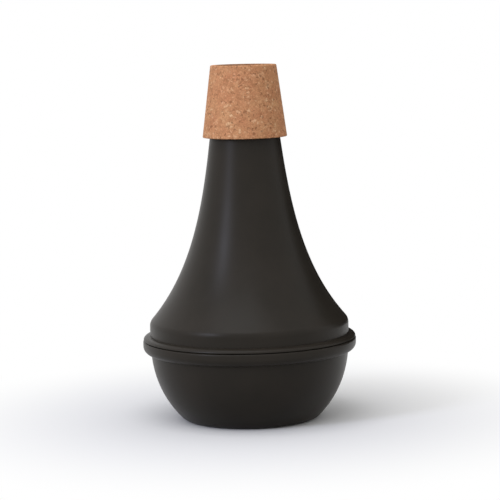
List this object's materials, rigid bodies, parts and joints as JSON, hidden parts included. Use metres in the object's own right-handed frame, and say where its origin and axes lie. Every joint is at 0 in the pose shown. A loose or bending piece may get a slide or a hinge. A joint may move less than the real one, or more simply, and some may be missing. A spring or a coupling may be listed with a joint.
{
  "type": "trumpet practice mute",
  "caption": "Closed trumpet practice mute: cork sleeve on a slim neck, flared cone and rounded bowl pushed together at a bead ring, with damping felts and a vent inside.",
  "frame": {"origin": "centre of the flat underside of the bowl, on the axis of the mute", "axes": "+Z along the axis of the mute, from the base to the cork end"},
  "size_m": [0.1032, 0.1032, 0.171],
  "materials": {
    "moulded_plastic": "injection-moulded black ABS with a fine satin surface",
    "cork": "pressed agglomerated cork, sanded, with granules of 1 to 2 mm",
    "felt": "pressed grey wool felt",
    "seal_rubber": "smooth black rubber",
    "nylon": "moulded black nylon, slightly grained",
    "aluminium_tube": "drawn tube, lightly brushed round"
  },
  "bodies": {
    "bowl": {"bowl_shell": "moulded_plastic", "joint_seal": "seal_rubber", "bowl_felt": "felt", "vent_bush": "nylon", "vent_tube": "aluminium_tube"},
    "cone": {"cone_shell": "moulded_plastic", "cork_sleeve": "cork", "throat_insert": "nylon", "throat_tube": "aluminium_tube", "baffle_plate": "nylon", "tube_grommet": "seal_rubber", "cone_felt": "felt"}
  },
  "joints": [
    {"name": "cone_lift", "type": "slide", "parent": "bowl", "child": "cone", "axis": [0, 0, 1], "range_m": [0, 0.06]}
  ]
}
